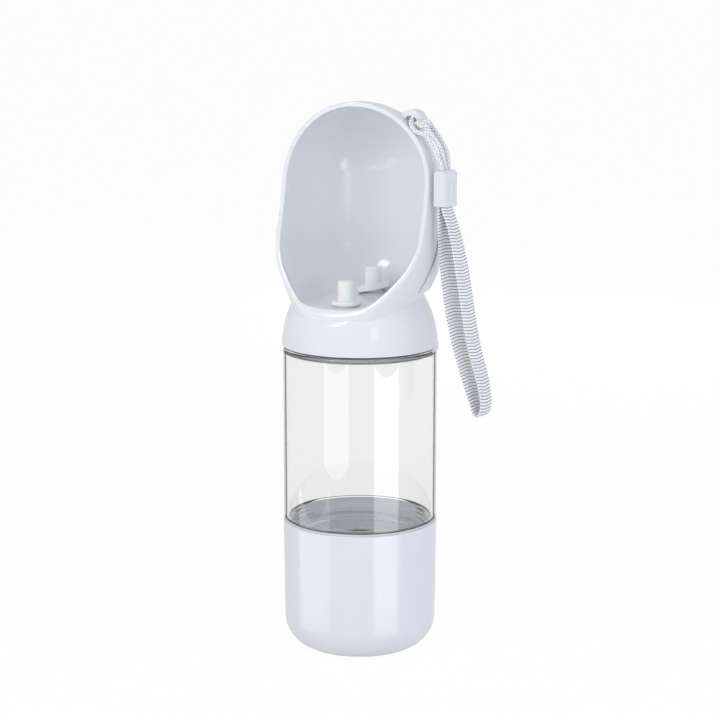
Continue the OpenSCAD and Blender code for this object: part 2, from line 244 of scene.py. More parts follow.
def dressed(piece, name, body, material, nodes=(), angle=32):
    """Ends a piece: name, finish, body, and the CAD nodes that it stands for."""
    piece.name = name
    piece.data.name = name
    smooth(piece, angle)
    piece.data.materials.clear()
    piece.data.materials.append(material)
    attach(piece, body)
    if nodes:
        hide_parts(*nodes)
    return piece


# Finishes

def node_in(tree, kind, x, y, **settings):
    node = tree.nodes.new(kind)
    node.location = (x, y)
    for key, value in settings.items():
        setattr(node, key, value)
    return node


def number_node(tree, operation, x, y, first, second=None):
    """A maths node on two values or sockets; returns its result."""
    node = node_in(tree, "ShaderNodeMath", x, y, operation=operation)
    for socket, value in zip(node.inputs, (first, second)):
        if value is None:
            continue
        if isinstance(value, (int, float)):
            socket.default_value = value
        else:
            tree.links.new(value, socket)
    return node.outputs[0]


def wave(tree, x, y, value):
    """The sine of a number of half turns: nothing at whole numbers, and most halfway between them."""
    half_turns = number_node(tree, "MULTIPLY", x, y, value, math.pi)
    return number_node(tree, "SINE", x + 150, y, half_turns)


def mixed(tree, x, share, first, second):
    """A mix of two shaders; returns its result."""
    blend = node_in(tree, "ShaderNodeMixShader", x, 0)
    tree.links.new(share, blend.inputs["Fac"])
    tree.links.new(first, blend.inputs[1])
    tree.links.new(second, blend.inputs[2])
    return blend.outputs["Shader"]


def surface_group(name, numbers, colours):
    """A new shader group with those inputs, which puts out a surface's colour, roughness and height."""
    group = bpy.data.node_groups.new(name, "ShaderNodeTree")
    for label in colours:
        group.interface.new_socket(name=label, in_out="INPUT", socket_type="NodeSocketColor")
    for label, value in numbers.items():
        socket = group.interface.new_socket(name=label, in_out="INPUT", socket_type="NodeSocketFloat")
        socket.default_value = value
    group.interface.new_socket(name="Colour", in_out="OUTPUT", socket_type="NodeSocketColor")
    for label in ("Roughness", "Height"):
        group.interface.new_socket(name=label, in_out="OUTPUT", socket_type="NodeSocketFloat")
    return group, node_in(group, "NodeGroupInput", -1200, 0)


def put_out(group, factor, colours, roughness, height):
    """Ends a group: its colour goes from the first to the second of two by the factor."""
    mix = node_in(group, "ShaderNodeMix", 500, 250, data_type="RGBA")
    group.links.new(factor, mix.inputs["Factor"])
    group.links.new(colours[0], mix.inputs["A"])
    group.links.new(colours[1], mix.inputs["B"])
    leave = node_in(group, "NodeGroupOutput", 800, 0)
    group.links.new(mix.outputs["Result"], leave.inputs["Colour"])
    group.links.new(roughness, leave.inputs["Roughness"])
    group.links.new(height, leave.inputs["Height"])
    return group


def strap_ways(group):
    """The two ways on a strap's UV map in millimetres: round the piece, and along it."""
    place = node_in(group, "ShaderNodeTexCoord", -1200, -300)
    split = node_in(group, "ShaderNodeSeparateXYZ", -1000, -300)
    group.links.new(place.outputs["UV"], split.inputs["Vector"])
    return split.outputs["X"], split.outputs["Y"]


def thread_gloss(group, relief, top):
    """Rough in the gaps, and a little smoother on top of the threads."""
    rough = node_in(group, "ShaderNodeMapRange", 500, -200)
    group.links.new(relief, rough.inputs["Value"])
    rough.inputs["To Min"].default_value = 0.95
    rough.inputs["To Max"].default_value = top
    return rough.outputs["Result"]


def moulded_group():
    """Moulded plastic: faint clouding of the colour, uneven gloss and a fine orange-peel height."""
    group, entry = surface_group("moulded_surface",
                                 {"Grain Scale": 900.0, "Gloss Low": 0.25, "Gloss High": 0.35},
                                 ["Colour", "Cloud Colour"])
    place = node_in(group, "ShaderNodeTexCoord", -1200, -300)
    cloud = node_in(group, "ShaderNodeTexNoise", -900, 200)
    cloud.inputs["Scale"].default_value = 28
    cloud.inputs["Detail"].default_value = 3
    grain = node_in(group, "ShaderNodeTexNoise", -900, -200)
    grain.inputs["Detail"].default_value = 2
    group.links.new(place.outputs["Object"], cloud.inputs["Vector"])
    group.links.new(place.outputs["Object"], grain.inputs["Vector"])
    group.links.new(entry.outputs["Grain Scale"], grain.inputs["Scale"])
    gloss = node_in(group, "ShaderNodeMapRange", -300, -50)
    group.links.new(cloud.outputs["Fac"], gloss.inputs["Value"])
    group.links.new(entry.outputs["Gloss Low"], gloss.inputs["To Min"])
    group.links.new(entry.outputs["Gloss High"], gloss.inputs["To Max"])
    return put_out(group, cloud.outputs["Fac"], (entry.outputs["Colour"], entry.outputs["Cloud Colour"]),
                   gloss.outputs["Result"], grain.outputs["Fac"])


def thread_group():
    """Plaited threads: cells lie between two families of slanting lines, and each is a raised thread; the
    lines between them get a dark colour as painted shade.
    """
    group, entry = surface_group("plaited_threads",
                                 {"Cells Around": 1.0, "Cells Along": 1.0, "Gap Width": 0.35},
                                 ["Thread Colour", "Gap Colour"])
    way_round, way_along = strap_ways(group)
    around = number_node(group, "MULTIPLY", -800, -100, way_round, entry.outputs["Cells Around"])
    along = number_node(group, "MULTIPLY", -800, -300, way_along, entry.outputs["Cells Along"])
    up = wave(group, -450, -100, number_node(group, "ADD", -600, -100, around, along))
    down = wave(group, -450, -300, number_node(group, "SUBTRACT", -600, -300, around, along))
    relief = number_node(group, "ABSOLUTE", 0, -200, number_node(group, "MULTIPLY", -150, -200, up, down))
    gap = node_in(group, "ShaderNodeMapRange", 150, 100, interpolation_type="SMOOTHSTEP")
    group.links.new(relief, gap.inputs["Value"])
    group.links.new(entry.outputs["Gap Width"], gap.inputs["From Max"])
    return put_out(group, gap.outputs["Result"],
                   (entry.outputs["Gap Colour"], entry.outputs["Thread Colour"]),
                   thread_gloss(group, relief, 0.7), relief)


def rib_group():
    """Flat webbing: rows of dashes of painted shade in the furrows between white ribs; the rows lean one way
    in a column and the other way in the next."""
    group, entry = surface_group("webbing_ribs",
                                 {"Column Width": 4.4, "Dash Width": 1.25, "Rib Pitch": 1.5, "Slant": 0.45},
                                 ["Thread Colour", "Gap Colour"])
    way_round, way_along = strap_ways(group)
    column = number_node(group, "DIVIDE", -850, 0, way_round, entry.outputs["Column Width"])
    zigzag = number_node(group, "PINGPONG", -700, 0, column, 1.0)
    lean = number_node(group, "MULTIPLY", -550, 0, zigzag, entry.outputs["Slant"])
    row = number_node(group, "DIVIDE", -850, -300, way_along, entry.outputs["Rib Pitch"])
    rib = number_node(group, "FRACT", -250, -100, number_node(group, "ADD", -400, -100, row, lean))
    bulge = wave(group, -120, -100, rib)
    dash = number_node(group, "DIVIDE", -850, -500, way_round, entry.outputs["Dash Width"])
    middle = wave(group, -550, -500, number_node(group, "FRACT", -700, -500, dash))
    gap = node_in(group, "ShaderNodeMapRange", 150, 100, interpolation_type="SMOOTHSTEP")
    group.links.new(bulge, gap.inputs["Value"])
    gap.inputs["From Min"].default_value = 0.25
    gap.inputs["From Max"].default_value = 0.62
    inside = node_in(group, "ShaderNodeMapRange", -200, -400, interpolation_type="SMOOTHSTEP")
    group.links.new(middle, inside.inputs["Value"])
    inside.inputs["From Max"].default_value = 0.75
    inside.inputs["To Min"].default_value = 0.12
    between = number_node(group, "SUBTRACT", 300, 100, 1.0, gap.outputs["Result"])
    # Dashes of painted shade in the furrows between the ribs.
    gap_shade = number_node(group, "MULTIPLY", 400, 0, inside.outputs["Result"], between)
    return put_out(group, gap_shade, (entry.outputs["Thread Colour"], entry.outputs["Gap Colour"]),
                   thread_gloss(group, bulge, 0.75), bulge)


CLEAR_IOR = 1.46
MOULDED = moulded_group()
THREADS = thread_group()
RIBS = rib_group()


def finish_from(name, group, values, depth, **shader):
    """A material whose colour, roughness and height come from a group; shader sets plain sockets."""
    material = bpy.data.materials.new(name)
    material.use_nodes = True
    tree = material.node_tree
    surface = tree.nodes["Principled BSDF"]
    detail = node_in(tree, "ShaderNodeGroup", -500, 0)
    detail.node_tree = group
    for label, value in values.items():
        detail.inputs[label].default_value = value
    bump = node_in(tree, "ShaderNodeBump", -250, -200)
    bump.inputs["Strength"].default_value = 1.0
    bump.inputs["Distance"].default_value = depth * MM
    tree.links.new(detail.outputs["Colour"], surface.inputs["Base Color"])
    tree.links.new(detail.outputs["Roughness"], surface.inputs["Roughness"])
    tree.links.new(detail.outputs["Height"], bump.inputs["Height"])
    tree.links.new(bump.outputs["Normal"], surface.inputs["Normal"])
    for label, value in shader.items():
        surface.inputs[label.replace("_", " ")].default_value = value
    return material


def plastic(name, colour, cloud, low, high, depth=0.004, **shader):
    values = {"Colour": (*colour, 1), "Cloud Colour": (*cloud, 1), "Gloss Low": low, "Gloss High": high}
    return finish_from(name, MOULDED, values, depth, **shader)


white_lid = plastic("white_lid_plastic", (0.80, 0.81, 0.84), (0.79, 0.80, 0.83), 0.085, 0.11)
white_cup = plastic("white_cup_plastic", (0.79, 0.80, 0.84), (0.78, 0.79, 0.83), 0.16, 0.19)
white_clip = plastic("white_clip_plastic", (0.76, 0.78, 0.81), (0.75, 0.77, 0.80), 0.35, 0.4)
silicone = plastic("pale_silicone", (0.85, 0.87, 0.865), (0.84, 0.86, 0.855), 0.38, 0.44,
                   Subsurface_Weight=0.35, Subsurface_Scale=0.003)
clear_seal = plastic("clear_seal_rubber", (0.75, 0.76, 0.77), (0.7, 0.71, 0.72), 0.3, 0.45)
# The neck seal's near-black colour is painted shade for the shadowed gap under the collar.
seal_painted_shade = plastic("seal_rubber_painted_shade", (0.08, 0.08, 0.085), (0.1, 0.1, 0.105), 0.4, 0.6)


def painted_outline_shade(tree):
    """How strong the painted shade line inside the bottle's outline is, a dark line that stands in for the
    dark reflection near the wall's edge: none in the middle of the wall and on all other faces, and
    strongest just before the wall turns away."""
    facing = node_in(tree, "ShaderNodeLayerWeight", -500, 700)
    line = node_in(tree, "ShaderNodeValToRGB", -300, 700)
    tree.links.new(facing.outputs["Facing"], line.inputs["Fac"])
    marks = ((0.0, 0.0), (0.715, 0.0), (0.755, 1.0), (0.795, 1.0), (0.835, 0.12), (1.0, 0.12))
    while len(line.color_ramp.elements) < len(marks):
        line.color_ramp.elements.new(0.5)
    for mark, (position, grey) in zip(line.color_ramp.elements, marks):
        mark.position = position
        mark.color = (grey, grey, grey, 1)
    place = node_in(tree, "ShaderNodeTexCoord", -900, 500)
    flat = node_in(tree, "ShaderNodeVectorMath", -700, 500, operation="MULTIPLY")
    flat.inputs[1].default_value = (1, 1, 0)
    reach = node_in(tree, "ShaderNodeVectorMath", -500, 500, operation="LENGTH")
    split = node_in(tree, "ShaderNodeSeparateXYZ", -700, 300)
    tree.links.new(place.outputs["Object"], flat.inputs[0])
    tree.links.new(flat.outputs["Vector"], reach.inputs[0])
    tree.links.new(place.outputs["Object"], split.inputs["Vector"])
    outer = number_node(tree, "GREATER_THAN", -300, 500, reach.outputs["Value"], (BODY_R - 0.5) * MM)
    upright = number_node(tree, "COMPARE", -500, 300, split.outputs["Z"], (BODY_LOW + SHOULDER) / 2 * MM)
    upright.node.inputs[2].default_value = ((SHOULDER - BODY_LOW) / 2 - 1.4) * MM
    wall = number_node(tree, "MULTIPLY", -150, 400, upright, outer)
    return number_node(tree, "MULTIPLY", 0, 600, line.outputs["Color"], wall)


def see_through(material):
    """Gives a clear plastic a painted shade line along its outline, which stands in for the dark reflection
    near the wall's edge, and lets light that falls through the piece onto others pass it straight."""
    tree = material.node_tree
    # Grey glass for the painted shade line that stands in for the dark reflection near the bottle's edge.
    edge = node_in(tree, "ShaderNodeBsdfGlass", 200, -200)
    edge.inputs["Color"].default_value = (0.3, 0.305, 0.31, 1)
    edge.inputs["IOR"].default_value = CLEAR_IOR
    with_painted_outline = mixed(tree, 400, painted_outline_shade(tree), tree.nodes["Principled BSDF"].outputs["BSDF"],
                  edge.outputs["BSDF"])
    clear = node_in(tree, "ShaderNodeBsdfTransparent", 400, -300)
    clear.inputs["Color"].default_value = (0.97, 0.975, 0.975, 1)
    path = node_in(tree, "ShaderNodeLightPath", 200, 500)
    passing = number_node(tree, "MAXIMUM", 400, 500, path.outputs["Is Shadow Ray"],
                          path.outputs["Is Diffuse Ray"])
    whole = mixed(tree, 600, passing, with_painted_outline, clear.outputs["BSDF"])
    tree.links.new(whole, tree.nodes["Material Output"].inputs["Surface"])
    return material


clear_plastic = see_through(plastic("clear_bottle_plastic", (0.935, 0.935, 0.935), (0.93, 0.93, 0.93),
                                    0.0, 0.01, depth=0.0005, Transmission_Weight=1.0, IOR=CLEAR_IOR))
# The dark gap colours of the cord and the webbing are painted shade in the gaps between the white threads.
plait = finish_from("white_plaited_cord", THREADS,
                    {"Thread Colour": (0.9, 0.9, 0.91, 1), "Gap Colour": (0.3, 0.3, 0.32, 1),
                     "Gap Width": 0.2, "Cells Around": 0.579, "Cells Along": 0.5}, 0.12, Sheen_Weight=0.15)
webbing = finish_from("white_webbing", RIBS,
                      {"Thread Colour": (0.9, 0.9, 0.91, 1), "Gap Colour": (0.12, 0.12, 0.13, 1)}, 0.15,
                      Sheen_Weight=0.15)


# Wrist strap: the cord's routes are the CAD model's

CORD_D = 2.2
CORD_ROUTE = [
    (44, -3.2, 231.5), (44, -3.2, 234.3), (43.8, -3.3, 237), (42.5, -3.4, 240.6), (40.1, -2.8, 244.4),
    (37.9, -1.9, 247.8), (35.9, -1.4, 250.6), (34, -1.8, 252.4), (32, -2.8, 253.2), (30.2, -3.6, 254.1),
    (28.8, -3.8, 255.7), (27.7, -2.8, 257.4), (26.9, -1, 258.4), (26.5, 1.4, 258.7), (26.4, 4.3, 258.8),
    (26.5, 7.2, 258.8), (27, 9.4, 258.6), (28.6, 10.6, 258.1), (30.8, 10.4, 257.3), (32.8, 8.8, 256.2),
    (34.4, 6.9, 254.9), (37.4, 5.4, 252.3), (40.3, 4.4, 248.7), (42.8, 3.4, 245.2), (44.3, 2.4, 241.4),
    (44.9, 1.5, 237.4), (45, 1.2, 234.3), (45, 1.2, 231.5),
]
TAIL_ROUTE = [
    (44.5, -1, 231.5), (44.5, -1, 234.3), (44.3, -1, 237.2), (43.4, -0.7, 241), (41.6, 0.1, 245.4),
    (39.5, 0.4, 249), (37, 0, 252.2), (34.9, -0.9, 255), (33, -1.8, 256.8),
]
BAND_W = 8.8
BAND_T = 1.1
BAND_ROUTE = [
    (-1, 5), (-1, 0), (-1, -4), (-0.8, -8), (0, -18), (2.3, -31.5), (4.4, -45), (6.8, -56), (9.6, -66),
    (12.2, -73), (14.4, -79.5), (16.4, -86), (18, -91.5), (19.2, -95.2), (20.5, -97), (21.9, -97),
    (23.3, -95), (24, -91), (23.1, -85), (21.4, -78.5), (19.2, -72), (17, -65), (14.7, -55),
    (12.7, -44.5), (10.1, -31), (7, -17.5), (3.8, -7.5), (1.6, -2.5), (1, 0), (1, 5),
]
STRAP_SHADE = 60
CLIP_AT = Vector((44.5, -1, 219.3))
CLIP_TURN = math.radians(-12)
CLIP_OUT = Vector((math.cos(CLIP_TURN), math.sin(CLIP_TURN), 0))
CLIP_SIDE = Vector((-math.sin(CLIP_TURN), math.cos(CLIP_TURN), 0))


def smooth_route(route, step):
    """Points close together on one smooth curve through the route's points, in millimetres."""
    ends = [2 * Vector(route[0]) - Vector(route[1]), 2 * Vector(route[-1]) - Vector(route[-2])]
    marks = [ends[0], *[Vector(p) for p in route], ends[1]]
    found = []
    for a, b, c, d in zip(marks, marks[1:], marks[2:], marks[3:]):
        count = max(1, round((c - b).length / step))
        for i in range(count):
            t = i / count
            found.append(0.5 * (2 * b + (c - a) * t + (2 * a - 5 * b + 4 * c - d) * t ** 2
                                + (3 * b - a - 3 * c + d) * t ** 3))
    return found + [marks[-2]]


def round_outline(radius, sides):
    """Places and outward directions round a round cord, with the way round in millimetres."""
    found = []
    for i in range(sides):
        turn = 2 * math.pi * i / sides
        found.append((radius * math.cos(turn), radius * math.sin(turn), math.cos(turn), math.sin(turn),
                      radius * turn))
    return found, 2 * math.pi * radius


def flat_outline(width, thickness, step):
    """The same round flat webbing with round edges."""
    r = thickness / 2
    half = width / 2 - r
    flat = max(2, round(2 * half / step))
    places = []
    for side in (1, -1):
        places += [(side * (half - 2 * half * i / flat), side * r, 0, side) for i in range(flat + 1)]
        for i in range(1, 5):
            out, up = math.sin(math.pi * i / 5), math.cos(math.pi * i / 5)
            places.append((-side * (half + r * out), side * r * up, -side * out, side * up))
    found, way = [], 0
    for i, (a, b, na, nb) in enumerate(places):
        if i:
            way += math.hypot(a - places[i - 1][0], b - places[i - 1][1])
        found.append((a, b, na, nb, way))
    return found, way + math.hypot(places[0][0] - places[-1][0], places[0][1] - places[-1][1])


def plain(*_):
    """No relief, or no twist."""
    return 0


def swept(name, route, section, side, relief=plain, twist=plain):
    """A closed tube along close points, with a UV map in millimetres; relief(round, along) raises its
    surface, and twist(along) turns it."""
    outline, girth = section
    mesh = bmesh.new()
    uv = mesh.loops.layers.uv.new("UVMap")
    level, way, rings, ways = side.copy(), 0, [], []
    for i, place in enumerate(route):
        ahead = (route[min(i + 1, len(route) - 1)] - route[max(i - 1, 0)]).normalized()
        level = (level - level.dot(ahead) * ahead).normalized()
        if i:
            way += (place - route[i - 1]).length
        ways.append(way)
        across = Matrix.Rotation(twist(way), 3, ahead) @ level
        upright = ahead.cross(across)
        ring = []
        for a, b, na, nb, u in outline:
            out = relief(u / girth, way)
            ring.append(mesh.verts.new((place + across * (a + na * out) + upright * (b + nb * out)) * MM))
        rings.append(ring)
    count = len(outline)
    marks = [u for *_, u in outline] + [girth]
    for i in range(len(rings) - 1):
        for j in range(count):
            k = (j + 1) % count
            face = mesh.faces.new((rings[i][j], rings[i][k], rings[i + 1][k], rings[i + 1][j]))
            corners = ((marks[j], ways[i]), (marks[j + 1], ways[i]), (marks[j + 1], ways[i + 1]),
                       (marks[j], ways[i + 1]))
            for loop, corner in zip(face.loops, corners):
                loop[uv].uv = corner
    mesh.faces.new(list(reversed(rings[0])))
    mesh.faces.new(rings[-1])
    data = bpy.data.meshes.new(name)
    mesh.to_mesh(data)
    mesh.free()
    piece = bpy.data.objects.new(name, data)
    bpy.context.scene.collection.objects.link(piece)
    return piece


def plait_relief(round_share, along):
    """The raised threads of the thin cord, on the cells that its material draws."""
    cells = 4 * round_share
    rows = 0.5 * along
    crossing = abs(math.sin(math.pi * (cells + rows)) * math.sin(math.pi * (cells - rows)))
    return 0.1 * math.sqrt(crossing) - 0.06


def knot_route():
    """An overhand knot in the plane that faces the photograph, with a short free end."""
    middle = Vector((33.6, -1.2, 257.0))
    right = Vector((0.906, 0.423, 0))
    near = Vector((0.423, -0.906, 0))
    found = []
    for i in range(25):
        turn = math.radians(-150 + 300 * i / 24)
        across = 0.935 * (math.sin(turn) + 2 * math.sin(2 * turn))
        rise = 0.75 * (math.cos(turn) - 2 * math.cos(2 * turn))
        depth = -0.95 * math.sin(3 * turn)
        found.append(middle + across * right + depth * near + Vector((0, 0, rise)))
    return found


def thin_cord(name, route, node):
    piece = swept(name, smooth_route(route, 0.3), round_outline(CORD_D / 2, 24), CLIP_SIDE, plait_relief)
    return dressed(piece, name, "lid", plait, [node], STRAP_SHADE)


def ramp(value, low, high):
    """Eases from 0 at low to 1 at high."""
    share = min(1, max(0, (value - low) / (high - low)))
    return share * share * (3 - 2 * share)


def band_twist(way):
    """The hanging loop's two runs turn a little towards the front, and lie flat at the clip and the fold."""
    down = 25 * ramp(way, 14, 40) * (1 - ramp(way, 84, 102))
    up = 9 * ramp(way, 112, 130) * (1 - ramp(way, 172, 198))
    return math.radians(down - up)


def wrist_strap():
    cord = thin_cord("thin_cord", CORD_ROUTE, "lanyard_cord")
    tail = thin_cord("thin_cord_tail", TAIL_ROUTE, "lanyard_tail")
    knot = thin_cord("cord_knot", knot_route(), "lanyard_knot")
    close = smooth_route([CLIP_AT + n * CLIP_OUT + Vector((0, 0, z)) for n, z in BAND_ROUTE], 0.8)
    band = swept("wrist_webbing", close, flat_outline(BAND_W, BAND_T, 0.8), CLIP_SIDE, twist=band_twist)
    dressed(band, "wrist_webbing", "lid", webbing, ["wrist_band"], STRAP_SHADE)


wrist_strap()


# Food cup

def food_cup():
    round_r = 15
    middle = CUP_R - 0.6 - round_r
    outline = [(0, 0), *bend(middle, round_r, round_r, -90, 0, 20), (CUP_R - 0.02, CUP_TOP - 0.5),
               *bend(CUP_R - 0.42, CUP_TOP - 0.4, 0.4, 0, 90, 4),
               *bend(CUP_R - CUP_WALL + 0.3, CUP_TOP - 0.3, 0.3, 90, 180, 3),
               *bend(middle, round_r, round_r - CUP_WALL, 0, -75.7, 14), (0, 2.4)]
    dressed(turned("cup", outline), "food_cup_shell", "cup", white_cup, ["food_cup"])


def flat_ring(name, inner, outer, low, high):
    edge = 0.2
    outline = [(inner, low), *bend(outer - edge, low + edge, edge, -90, 0, 3),
               *bend(outer - edge, high - edge, edge, 0, 90, 3), (inner, high), (inner, low)]
    return turned(name, outline)


food_cup()
dressed(flat_ring("cup_ring", FOOT_R + 0.4, BODY_R - 0.7, CUP_TOP, BODY_LOW), "cup_seal_ring", "cup_seal",
        clear_seal, ["cup_gasket"])
# The neck seal ring shows as a near-black line of painted shade in the gap under the collar.
dressed(flat_ring("neck_ring", NECK_R + 0.4, BODY_R - 1.2, SHOULDER + 0.1, COLLAR_LOW), "neck_seal_ring",
        "neck_seal", seal_painted_shade, ["neck_gasket"])


# Clear bottle

SHELF = [(0.0, 1.9), (0.3, 1.2), (1.0, 0.8), (1.8, 0.4), (2.4, -0.3), (2.8, -1.1), (2.5, -2.2), (3.1, -3.1),
         (2.6, -4.4), (3.3, -5.4), (2.8, -6.6)]
FOOT_RINGS = [(28.0, 0.5), (26.0, 0.0), (23.0, 0.6), (20.0, 0.0), (13.0, 0.5), (10.0, 0.0)]


def bottle():
    foot = BODY_LOW - FOOT_H
    inner = BODY_R - GLASS
    outline = [
        (0, foot), *bend(FOOT_R - 1, foot + 1, 1, -90, 0, 5), (FOOT_R, BODY_LOW),
        *bend(BODY_R - 1, BODY_LOW + 1, 1, -90, 0, 6),
        *bend(BODY_R - 1.2, SHOULDER - 1.2, 1.2, 0, 90, 6),
        (NECK_R, SHOULDER), *bend(NECK_R - 0.5, MOUTH - 0.5, 0.5, 0, 90, 4),
        *bend(NECK_R - GLASS + 0.5, MOUTH - 0.5, 0.5, 90, 180, 4),
        *bend(NECK_R - GLASS + 0.6, SHOULDER - GLASS + 0.6, 0.6, 180, 270, 4),
        *bend(inner - 0.8, SHOULDER - GLASS - 0.8, 0.8, 90, 0, 6),
        *[(inner - inset, BODY_LOW + rise) for inset, rise in SHELF],
        *bend(FOOT_R - GLASS - 2, foot + GLASS + 2, 2, 0, -90, 7),
        *[(r, foot + GLASS + rise) for r, rise in FOOT_RINGS], (0, foot + GLASS),
    ]
    dressed(turned("bottle_wall", outline, 192), "clear_bottle_shell", "bottle", clear_plastic,
            ["bottle"])


def screw_ridge(name, radius, low):
    """A half-round screw ridge round the neck or foot, thinned out at both ends."""
    turns, height, step = 1.05, 0.75, 4
    route = []
    for i in range(int(turns * 360 / step) + 1):
        turn = math.radians(i * step)
        route.append(Vector((radius * math.cos(turn), radius * math.sin(turn),
                             low + THREAD_LEAD * i * step / 360)))

    def fade(_, along):
        share = along / (2 * math.pi * radius * turns)
        return -height * 0.75 * max(0, 1 - min(share, 1 - share) / 0.06)

    ridge = swept(name, route, round_outline(height, 10), Vector((0, 0, 1)), fade)
    dressed(ridge, name, "bottle", clear_plastic)


bottle()
screw_ridge("neck_screw_ridge", NECK_R - 0.1, SHOULDER + 2.6)
screw_ridge("foot_screw_ridge", FOOT_R - 0.1, BODY_LOW - 9.6)


# Lid

def edge_distance(outside, far=90.0):
    """The distance at which a straight way leaves a form, found by halving."""
    near = 0.0
    for _ in range(26):
        half = (near + far) / 2
        if outside(half):
            far = half
        else:
            near = half
    return near


def flare_depth(x, y, z, grow):
    """How far a point lies outside the leaning cone that draws the scoop in below."""
    back, up = math.sin(FLARE_TILT), math.cos(FLARE_TILT)
    along = (y - APEX_Y) * back + (z - APEX_Z) * up + grow / math.sin(FLARE_HALF)
    across = math.hypot(x, (y - APEX_Y) * up - (z - APEX_Z) * back)
    return across * math.cos(FLARE_HALF) - along * math.sin(FLARE_HALF)


def blended(first, second):
    """The larger of two depths, rounded where they are nearly equal."""
    near = max(0, FLARE_BLEND - abs(first - second))
    return max(first, second) + near ** 2 / (4 * FLARE_BLEND)


def scoop_side(x, y, z, grow):
    """How far a point lies outside the scoop's walls: round behind the axis, straight in front of it."""
    upright = math.hypot(x, max(0, y), max(0, z - SCOOP_MID)) - SCOOP_R - grow
    front = LIP_Y - LIP_SLOPE * (z - FLOOR) - grow - y
    return blended(blended(upright, flare_depth(x, y, z, grow)), front)


def scoop_depth(x, y, z, grow, floor, round_r):
    """How far a point lies outside the scoop's form: its walls moved out by grow, and its tilted floor."""
    wall = scoop_side(x, y, z, grow)
    under = floor + math.tan(math.radians(FLOOR_TILT)) * y - z
    if wall > -round_r and under > -round_r:
        return math.hypot(wall + round_r, under + round_r) - round_r
    return max(wall, under)


def cut_point(x, way, depth):
    """A point on the round surface that lies depth behind the opening's cut; way runs along its arc."""
    radius = CUT_R + depth
    turn = way / CUT_R
    return x, CUT_Y + radius * math.cos(turn), CUT_Z + radius * math.sin(turn)


def scoop_loop(depth, *form):
    """The closed line in which that surface meets the scoop's form, in millimetres."""

    def reach(way, x_share, way_share):
        return edge_distance(
            lambda go: scoop_depth(*cut_point(go * x_share, way + go * way_share, depth), *form) > 0)

    start = LOOP_START + depth * 0.05
    middle = start + (reach(start, 0, 1) - reach(start, 0, -1)) / 2
    loop = []
    for i in range(ROUND):
        turn = 2 * math.pi * i / ROUND
        far = reach(middle, math.cos(turn), math.sin(turn))
        loop.append(Vector(cut_point(far * math.cos(turn), middle + far * math.sin(turn), depth)))
    return loop


def looped(name, loops, first_pole, last_pole):
    """A closed piece through loops with equal numbers of points, ended by a point at either side."""
    deselect()
    bpy.ops.mesh.primitive_circle_add(vertices=len(loops[0]), radius=MM)
    piece = bpy.context.object
    piece.name = name
    edit(piece)
    bpy.ops.mesh.select_all(action="SELECT")
    for _ in range(len(loops) - 1):
        bpy.ops.mesh.extrude_region_move()
    deselect()
    places = [p * MM for loop in loops for p in loop]
    for vertex, place in zip(piece.data.vertices, places):
        vertex.co = place
    mesh = bmesh.new()
    mesh.from_mesh(piece.data)
    ends = list(mesh.verts)
    count = len(loops[0])
    for pole, end in ((first_pole, ends[:count]), (last_pole, ends[-count:])):
        tip = mesh.verts.new(pole * MM)
        for i in range(count):
            mesh.faces.new((tip, end[i - 1], end[i]))
    mesh.to_mesh(piece.data)
    mesh.free()
    outward(piece)
    return piece


def rear_distance(x, z, form):
    """How far behind the axis the scoop's form ends."""
    return edge_distance(lambda y: scoop_depth(x, y, z, *form) > 0, 60.0)


def deepest(form):
    """The depth of the form's rearmost point behind the opening's cut."""
    low, step = 176, 0.1
    heights = [low + i * step for i in range(400)]
    return max(math.hypot(rear_distance(0, z, form) - CUT_Y, z - CUT_Z) - CUT_R for z in heights)


def drawn_in(loop, middle, share, form):
    """The loop shrunk to a share of its size in the front view, and laid back on the form's rear wall."""
    found = []
    for place in loop:
        x, z = (middle + (place - middle) * share).xz
        found.append(Vector((x, rear_distance(x, z, form), z)))
    return found


def rear_loops(form, low, rows, patch):
    """The form's rear wall: its middle point, and loops from there out to the depth low behind the cut."""
    depth = deepest(form)
    loops = [scoop_loop(low + (depth - low) * math.cos(math.pi / 2 * i / rows), *form)
             for i in range(patch, rows)]
    middle = sum(loops[0], Vector()) / len(loops[0])
    inner = [drawn_in(loops[0], middle, i / patch, form) for i in range(1, patch)]
    return drawn_in([middle], middle, 1, form)[0], inner + loops


def scoop_shell():
    """The scoop's wall: from the bowl's back over the round rim to the back of the outside."""
    inside = (-WALL, FLOOR, FLOOR_EDGE)
    outside = (0.0, FLOOR - FLOOR_DROP, 0.5)
    rows, patch = 44, 16
    inner_tip, loops = rear_loops(inside, RIM_PROFILE[0][1] + 0.3, rows, patch)
    for share, depth in RIM_PROFILE:
        blend = [a + (b - a) * share for a, b in zip(inside, outside)]
        loops.append(scoop_loop(depth, *blend))
    outer_tip, outer = rear_loops(outside, RIM_PROFILE[-1][1] + 0.4, rows, patch)
    return looped("scoop", loops + outer[::-1], inner_tip, outer_tip)


def bowl_form():
    """A form between the bowl's surface and the scoop's outside, which clears the dome from the bowl."""
    form = (-WALL / 2, FLOOR - 1.0, 3.0)
    tip, loops = rear_loops(form, 0, 30, 10)
    front = [scoop_loop(-2 * i, *form) for i in range(1, 20)]
    end = sum(front[-1], Vector()) / len(front[-1])
    return looped("bowl", loops + front, tip, end)


def opening_tool(radius):
    deselect()
    bpy.ops.mesh.primitive_cylinder_add(vertices=720, radius=radius * MM, depth=120 * MM,
                                        end_fill_type="TRIFAN", rotation=(0, math.pi / 2, 0))
    tool = bpy.context.object
    tool.location = point(0, CUT_Y, CUT_Z)
    settle(tool)
    return tool


